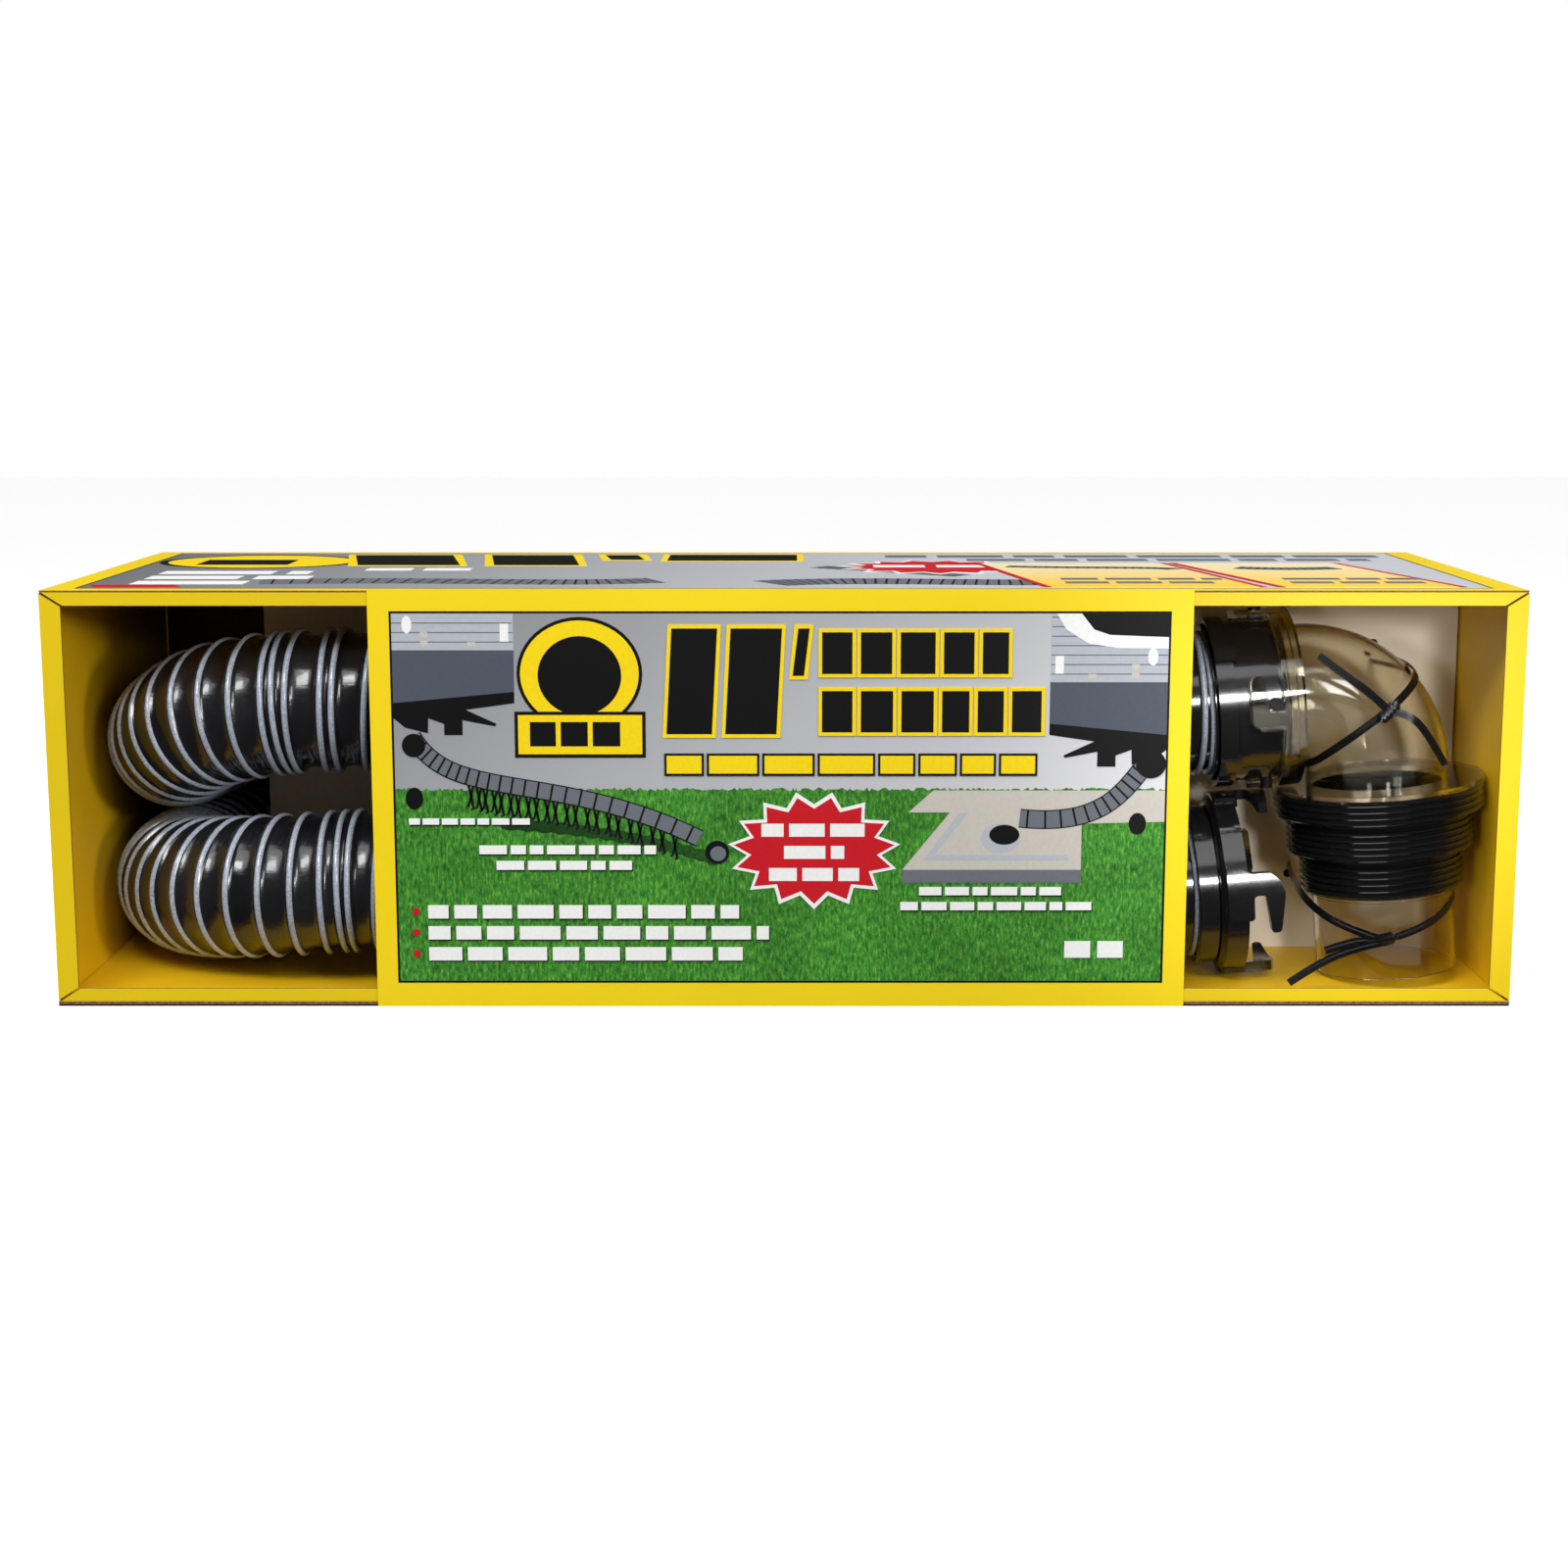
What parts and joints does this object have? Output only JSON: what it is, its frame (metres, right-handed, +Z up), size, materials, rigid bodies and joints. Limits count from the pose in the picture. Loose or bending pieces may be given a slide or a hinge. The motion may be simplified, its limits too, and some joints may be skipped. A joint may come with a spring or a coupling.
{
  "type": "boxed sewer hose kit",
  "caption": "Windowed carton with folded ribbed sewer hoses, swivelling bayonet end fittings and a clear right-angle adapter with a stepped thread.",
  "frame": {"origin": "middle of the carton's underside", "axes": "+X along the carton to the adapter, +Y from the windowed front to the back, +Z up"},
  "size_m": [0.78, 0.264, 0.2246],
  "materials": {
    "yellow_board": "coated print",
    "printed_board": "gloss print",
    "dark_board": "dark print",
    "pale_board": "uncoated",
    "hose_film": "gloss film with silver bead",
    "black_fitting": "moulded gloss",
    "retainer_plastic": "moulded",
    "gasket_rubber": "satin",
    "clear_plastic": "clear, slightly smoky",
    "tie_plastic": "satin"
  },
  "bodies": {
    "carton": {"base_sheet": "dark_board", "tray_floor": "yellow_board", "tray_back": "yellow_board", "bottom_lip": "yellow_board", "top_lip": "yellow_board", "left_post": "yellow_board", "right_post": "yellow_board", "front_panel": "printed_board", "divider": "pale_board", "upper_hose": "hose_film", "lower_hose": "hose_film", "upper_front_cuff": "black_fitting", "upper_back_cuff": "black_fitting", "lower_front_cuff": "black_fitting", "lower_back_cuff": "black_fitting", "upper_front_retainer": "retainer_plastic", "upper_back_retainer": "retainer_plastic", "lower_front_retainer": "retainer_plastic", "lower_back_retainer": "retainer_plastic"},
    "lid": {"lid": "printed_board"},
    "left_end": {"left_end": "yellow_board"},
    "right_end": {"right_end": "yellow_board"},
    "elbow": {"elbow_pipe": "clear_plastic", "spigot_pipe": "clear_plastic", "bayonet_ring": "clear_plastic", "elbow_tie": "tie_plastic", "spigot_tie": "tie_plastic"},
    "lug_ring": {"upper_front_collar": "black_fitting", "upper_front_gasket": "gasket_rubber"},
    "thread": {"thread_adapter": "black_fitting"},
    "front_hook_ring": {"lower_front_collar": "black_fitting", "lower_front_gasket": "gasket_rubber"},
    "back_hook_ring": {"upper_back_collar": "black_fitting", "upper_back_gasket": "gasket_rubber"},
    "back_lug_ring": {"lower_back_collar": "black_fitting", "lower_back_gasket": "gasket_rubber"}
  },
  "joints": [
    {"name": "lid_hinge", "type": "hinge", "parent": "carton", "child": "lid", "pos_m": [0, 0.132, 0.2246], "axis": [-1, 0, 0], "range_deg": [0, 110]},
    {"name": "left_end_hinge", "type": "hinge", "parent": "carton", "child": "left_end", "pos_m": [-0.39, 0.132, 0.1], "axis": [0, 0, -1], "range_deg": [0, 110]},
    {"name": "right_end_hinge", "type": "hinge", "parent": "carton", "child": "right_end", "pos_m": [0.39, 0.132, 0.1], "axis": [0, 0, 1], "range_deg": [0, 110]},
    {"name": "elbow_swing", "type": "hinge", "parent": "carton", "child": "elbow", "pos_m": [0.231, -0.0675, 0.15606], "axis": [-0.9962, 0, -0.0872], "range_deg": [0, 30]},
    {"name": "bayonet_twist", "type": "hinge", "parent": "elbow", "child": "lug_ring", "pos_m": [0.231, -0.0675, 0.15606], "axis": [-0.9962, 0, -0.0872], "range_deg": [0, 25]},
    {"name": "thread_swivel", "type": "hinge", "parent": "elbow", "child": "thread", "pos_m": [0.32454, -0.0675, 0.16425], "axis": [0.0872, 0, -0.9962], "continuous": true},
    {"name": "front_hook_swivel", "type": "hinge", "parent": "carton", "child": "front_hook_ring", "pos_m": [0.2253, -0.0675, 0.0534], "axis": [0.9969, 0, 0.0785], "continuous": true},
    {"name": "back_hook_swivel", "type": "hinge", "parent": "carton", "child": "back_hook_ring", "pos_m": [0.225, 0.064, 0.161], "axis": [1, 0, 0], "continuous": true},
    {"name": "back_lug_swivel", "type": "hinge", "parent": "carton", "child": "back_lug_ring", "pos_m": [0.225, 0.064, 0.0567], "axis": [1, 0, 0], "continuous": true}
  ]
}
